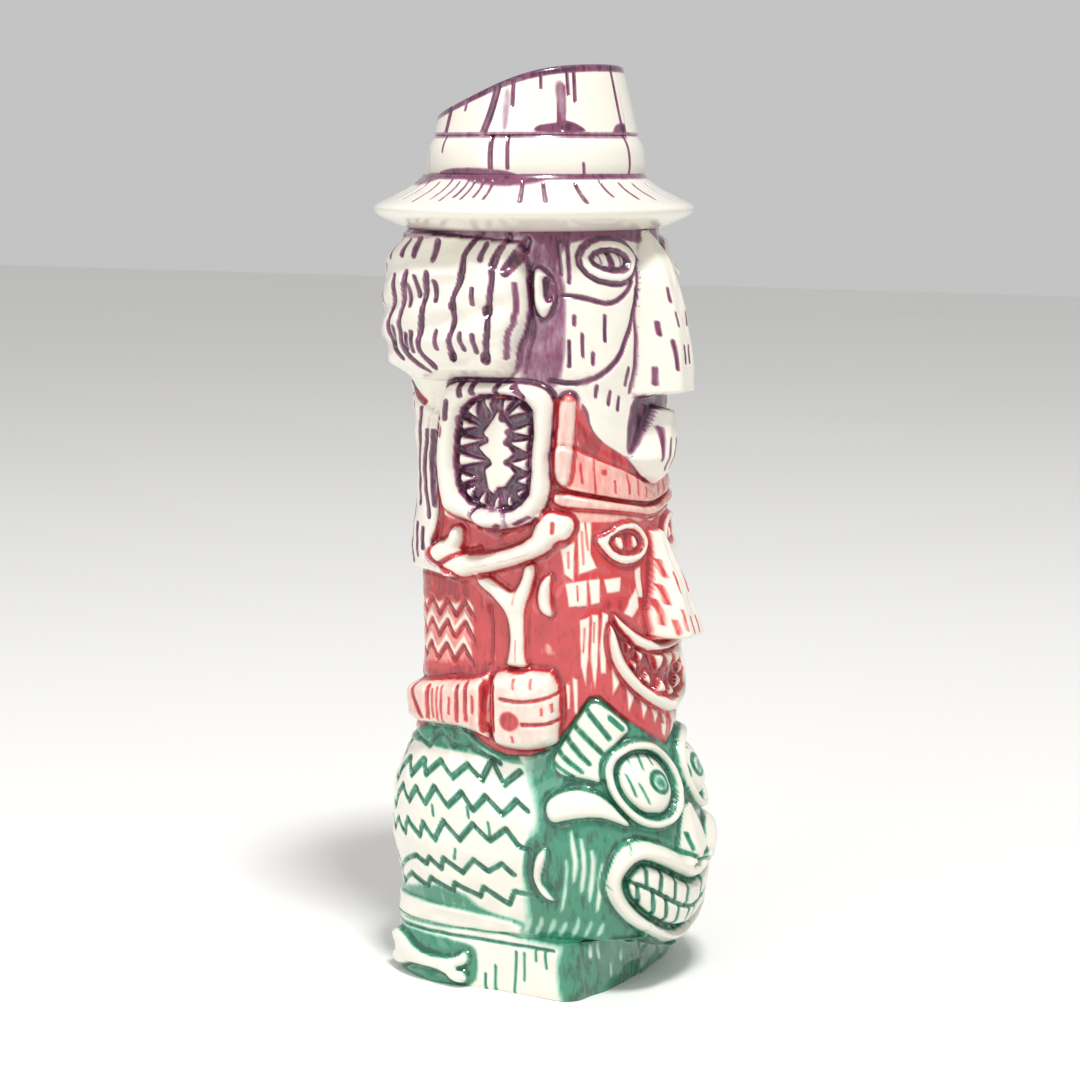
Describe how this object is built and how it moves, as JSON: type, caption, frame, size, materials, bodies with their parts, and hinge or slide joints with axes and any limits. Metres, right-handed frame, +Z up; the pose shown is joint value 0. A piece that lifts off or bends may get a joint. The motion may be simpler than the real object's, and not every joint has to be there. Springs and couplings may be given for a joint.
{
  "type": "tiki mug",
  "caption": "Tall glazed ceramic drinking mug: three carved mask heads stacked on a square foot, with a brimmed hat whose open crown is the drinking rim.",
  "frame": {"origin": "centre of the foot's flat underside", "axes": "+Z up through the open crown, the faces look along -Y, the figure's right-hand side is -X"},
  "size_m": [0.0804, 0.0926, 0.23],
  "materials": {
    "green_wash_glaze": "cream glaze with green wash in the carving",
    "red_wash_glaze": "cream glaze with red wash in the carving",
    "purple_wash_glaze": "cream glaze with purple wash in the carving"
  },
  "bodies": {
    "root": {"back_hair": "purple_wash_glaze", "brow_green_left": "green_wash_glaze", "brow_green_right": "green_wash_glaze", "chin_top": "purple_wash_glaze", "cross_bone_left": "red_wash_glaze", "cross_bone_right": "red_wash_glaze", "ear_green_left": "green_wash_glaze", "ear_green_right": "green_wash_glaze", "ear_red_left": "red_wash_glaze", "ear_red_right": "red_wash_glaze", "ear_top_left": "purple_wash_glaze", "ear_top_right": "purple_wash_glaze", "eye_red_left": "red_wash_glaze", "eye_red_right": "red_wash_glaze", "eye_ring_green_left": "green_wash_glaze", "eye_ring_green_right": "green_wash_glaze", "eye_top_left": "purple_wash_glaze", "eye_top_right": "purple_wash_glaze", "eyeball_green_left": "green_wash_glaze", "eyeball_green_right": "green_wash_glaze", "fist_left": "red_wash_glaze", "fist_right": "red_wash_glaze", "foot_bone_left": "green_wash_glaze", "foot_bone_right": "green_wash_glaze", "foot_plinth": "green_wash_glaze", "forearm_left": "red_wash_glaze", "forearm_right": "red_wash_glaze", "forked_bone_left": "red_wash_glaze", "forked_bone_right": "red_wash_glaze", "green_head": "green_wash_glaze", "hair_roll": "purple_wash_glaze", "hat_band": "purple_wash_glaze", "hat_brim": "purple_wash_glaze", "hat_crown": "purple_wash_glaze", "headband": "red_wash_glaze", "helmet": "red_wash_glaze", "helmet_post_left": "red_wash_glaze", "helmet_post_right": "red_wash_glaze", "jaw_knuckle_left": "purple_wash_glaze", "jaw_knuckle_right": "purple_wash_glaze", "jaw_ring_left": "purple_wash_glaze", "jaw_ring_right": "purple_wash_glaze", "jaw_teeth_left": "purple_wash_glaze", "jaw_teeth_right": "purple_wash_glaze", "lips_green": "green_wash_glaze", "lips_red": "red_wash_glaze", "nose_green": "green_wash_glaze", "nose_red": "red_wash_glaze", "nose_top": "purple_wash_glaze", "red_head": "red_wash_glaze", "ridge_green_left": "green_wash_glaze", "ridge_green_right": "green_wash_glaze", "teeth_green": "green_wash_glaze", "teeth_red": "red_wash_glaze", "top_head": "purple_wash_glaze"}
  },
  "joints": []
}
